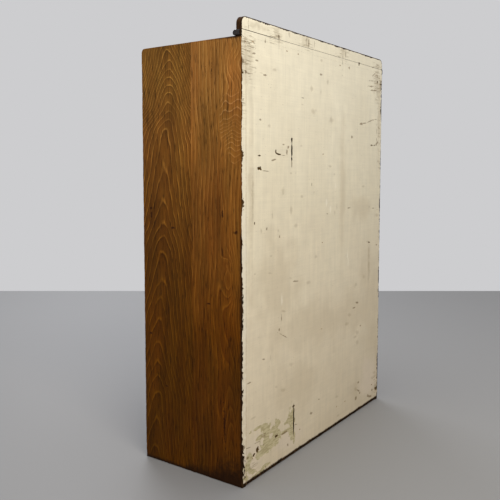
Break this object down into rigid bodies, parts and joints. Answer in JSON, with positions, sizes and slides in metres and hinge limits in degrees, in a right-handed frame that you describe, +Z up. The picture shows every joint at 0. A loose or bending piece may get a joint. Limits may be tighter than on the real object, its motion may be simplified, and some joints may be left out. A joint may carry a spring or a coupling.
{
  "type": "eyeglass lens cabinet",
  "caption": "Upright wooden cabinet of shallow drawers with brass knobs and card frames, a painted boarded back, and a low upstand on a dark bead along the rear of its top.",
  "frame": {"origin": "on the floor, at the middle of the cabinet's overall width and depth", "axes": "+Z up, +Y towards the painted back, drawers open towards -Y"},
  "size_m": [0.72, 0.313, 1.027],
  "materials": {
    "oak_case": "old varnished oak, satin",
    "oak_front": "old varnished oak, satin",
    "carcass_wood": "unvarnished softwood, darkened",
    "tray_wood": "bare pale wood",
    "painted_back": "old cream paint, worn at the edges",
    "painted_upstand": "old cream paint behind, dark varnish in front and at the ends",
    "ebonised_wood": "black, satin",
    "aged_brass": "aged brass",
    "iron_nail": "rusted cut iron"
  },
  "bodies": {
    "case": {"side_left": "oak_case", "side_right": "oak_case", "top_board": "oak_case", "bottom_board": "carcass_wood", "centre_partition": "carcass_wood", "back_boards": "painted_back", "back_nails": "iron_nail", "front_rails": "oak_case", "drawer_runners": "carcass_wood", "plinth": "oak_case", "upstand_bead": "ebonised_wood", "upstand": "painted_upstand"},
    "drawer_left_1": {"drawer_left_1_front": "oak_front", "drawer_left_1_tray": "tray_wood", "drawer_left_1_pull": "aged_brass"},
    "drawer_left_2": {"drawer_left_2_front": "oak_front", "drawer_left_2_tray": "tray_wood", "drawer_left_2_pull": "aged_brass"},
    "drawer_left_3": {"drawer_left_3_front": "oak_front", "drawer_left_3_tray": "tray_wood", "drawer_left_3_pull": "aged_brass"},
    "drawer_left_4": {"drawer_left_4_front": "oak_front", "drawer_left_4_tray": "tray_wood", "drawer_left_4_pull": "aged_brass"},
    "drawer_left_5": {"drawer_left_5_front": "oak_front", "drawer_left_5_tray": "tray_wood", "drawer_left_5_pull": "aged_brass"},
    "drawer_left_6": {"drawer_left_6_front": "oak_front", "drawer_left_6_tray": "tray_wood", "drawer_left_6_pull": "aged_brass"},
    "drawer_left_7": {"drawer_left_7_front": "oak_front", "drawer_left_7_tray": "tray_wood", "drawer_left_7_pull": "aged_brass"},
    "drawer_left_8": {"drawer_left_8_front": "oak_front", "drawer_left_8_tray": "tray_wood", "drawer_left_8_pull": "aged_brass"},
    "drawer_right_1": {"drawer_right_1_front": "oak_front", "drawer_right_1_tray": "tray_wood", "drawer_right_1_pull": "aged_brass"},
    "drawer_right_2": {"drawer_right_2_front": "oak_front", "drawer_right_2_tray": "tray_wood", "drawer_right_2_pull": "aged_brass"},
    "drawer_right_3": {"drawer_right_3_front": "oak_front", "drawer_right_3_tray": "tray_wood", "drawer_right_3_pull": "aged_brass"},
    "drawer_right_4": {"drawer_right_4_front": "oak_front", "drawer_right_4_tray": "tray_wood", "drawer_right_4_pull": "aged_brass"},
    "drawer_right_5": {"drawer_right_5_front": "oak_front", "drawer_right_5_tray": "tray_wood", "drawer_right_5_pull": "aged_brass"},
    "drawer_right_6": {"drawer_right_6_front": "oak_front", "drawer_right_6_tray": "tray_wood", "drawer_right_6_pull": "aged_brass"},
    "drawer_right_7": {"drawer_right_7_front": "oak_front", "drawer_right_7_tray": "tray_wood", "drawer_right_7_pull": "aged_brass"},
    "drawer_right_8": {"drawer_right_8_front": "oak_front", "drawer_right_8_tray": "tray_wood", "drawer_right_8_pull": "aged_brass"}
  },
  "joints": [
    {"name": "drawer_left_1_slide", "type": "slide", "parent": "case", "child": "drawer_left_1", "axis": [0, -1, 0], "range_m": [0, 0.2]},
    {"name": "drawer_left_2_slide", "type": "slide", "parent": "case", "child": "drawer_left_2", "axis": [0, -1, 0], "range_m": [0, 0.2]},
    {"name": "drawer_left_3_slide", "type": "slide", "parent": "case", "child": "drawer_left_3", "axis": [0, -1, 0], "range_m": [0, 0.2]},
    {"name": "drawer_left_4_slide", "type": "slide", "parent": "case", "child": "drawer_left_4", "axis": [0, -1, 0], "range_m": [0, 0.2]},
    {"name": "drawer_left_5_slide", "type": "slide", "parent": "case", "child": "drawer_left_5", "axis": [0, -1, 0], "range_m": [0, 0.2]},
    {"name": "drawer_left_6_slide", "type": "slide", "parent": "case", "child": "drawer_left_6", "axis": [0, -1, 0], "range_m": [0, 0.2]},
    {"name": "drawer_left_7_slide", "type": "slide", "parent": "case", "child": "drawer_left_7", "axis": [0, -1, 0], "range_m": [0, 0.2]},
    {"name": "drawer_left_8_slide", "type": "slide", "parent": "case", "child": "drawer_left_8", "axis": [0, -1, 0], "range_m": [0, 0.2]},
    {"name": "drawer_right_1_slide", "type": "slide", "parent": "case", "child": "drawer_right_1", "axis": [0, -1, 0], "range_m": [0, 0.2]},
    {"name": "drawer_right_2_slide", "type": "slide", "parent": "case", "child": "drawer_right_2", "axis": [0, -1, 0], "range_m": [0, 0.2]},
    {"name": "drawer_right_3_slide", "type": "slide", "parent": "case", "child": "drawer_right_3", "axis": [0, -1, 0], "range_m": [0, 0.2]},
    {"name": "drawer_right_4_slide", "type": "slide", "parent": "case", "child": "drawer_right_4", "axis": [0, -1, 0], "range_m": [0, 0.2]},
    {"name": "drawer_right_5_slide", "type": "slide", "parent": "case", "child": "drawer_right_5", "axis": [0, -1, 0], "range_m": [0, 0.2]},
    {"name": "drawer_right_6_slide", "type": "slide", "parent": "case", "child": "drawer_right_6", "axis": [0, -1, 0], "range_m": [0, 0.2]},
    {"name": "drawer_right_7_slide", "type": "slide", "parent": "case", "child": "drawer_right_7", "axis": [0, -1, 0], "range_m": [0, 0.2]},
    {"name": "drawer_right_8_slide", "type": "slide", "parent": "case", "child": "drawer_right_8", "axis": [0, -1, 0], "range_m": [0, 0.2]}
  ]
}
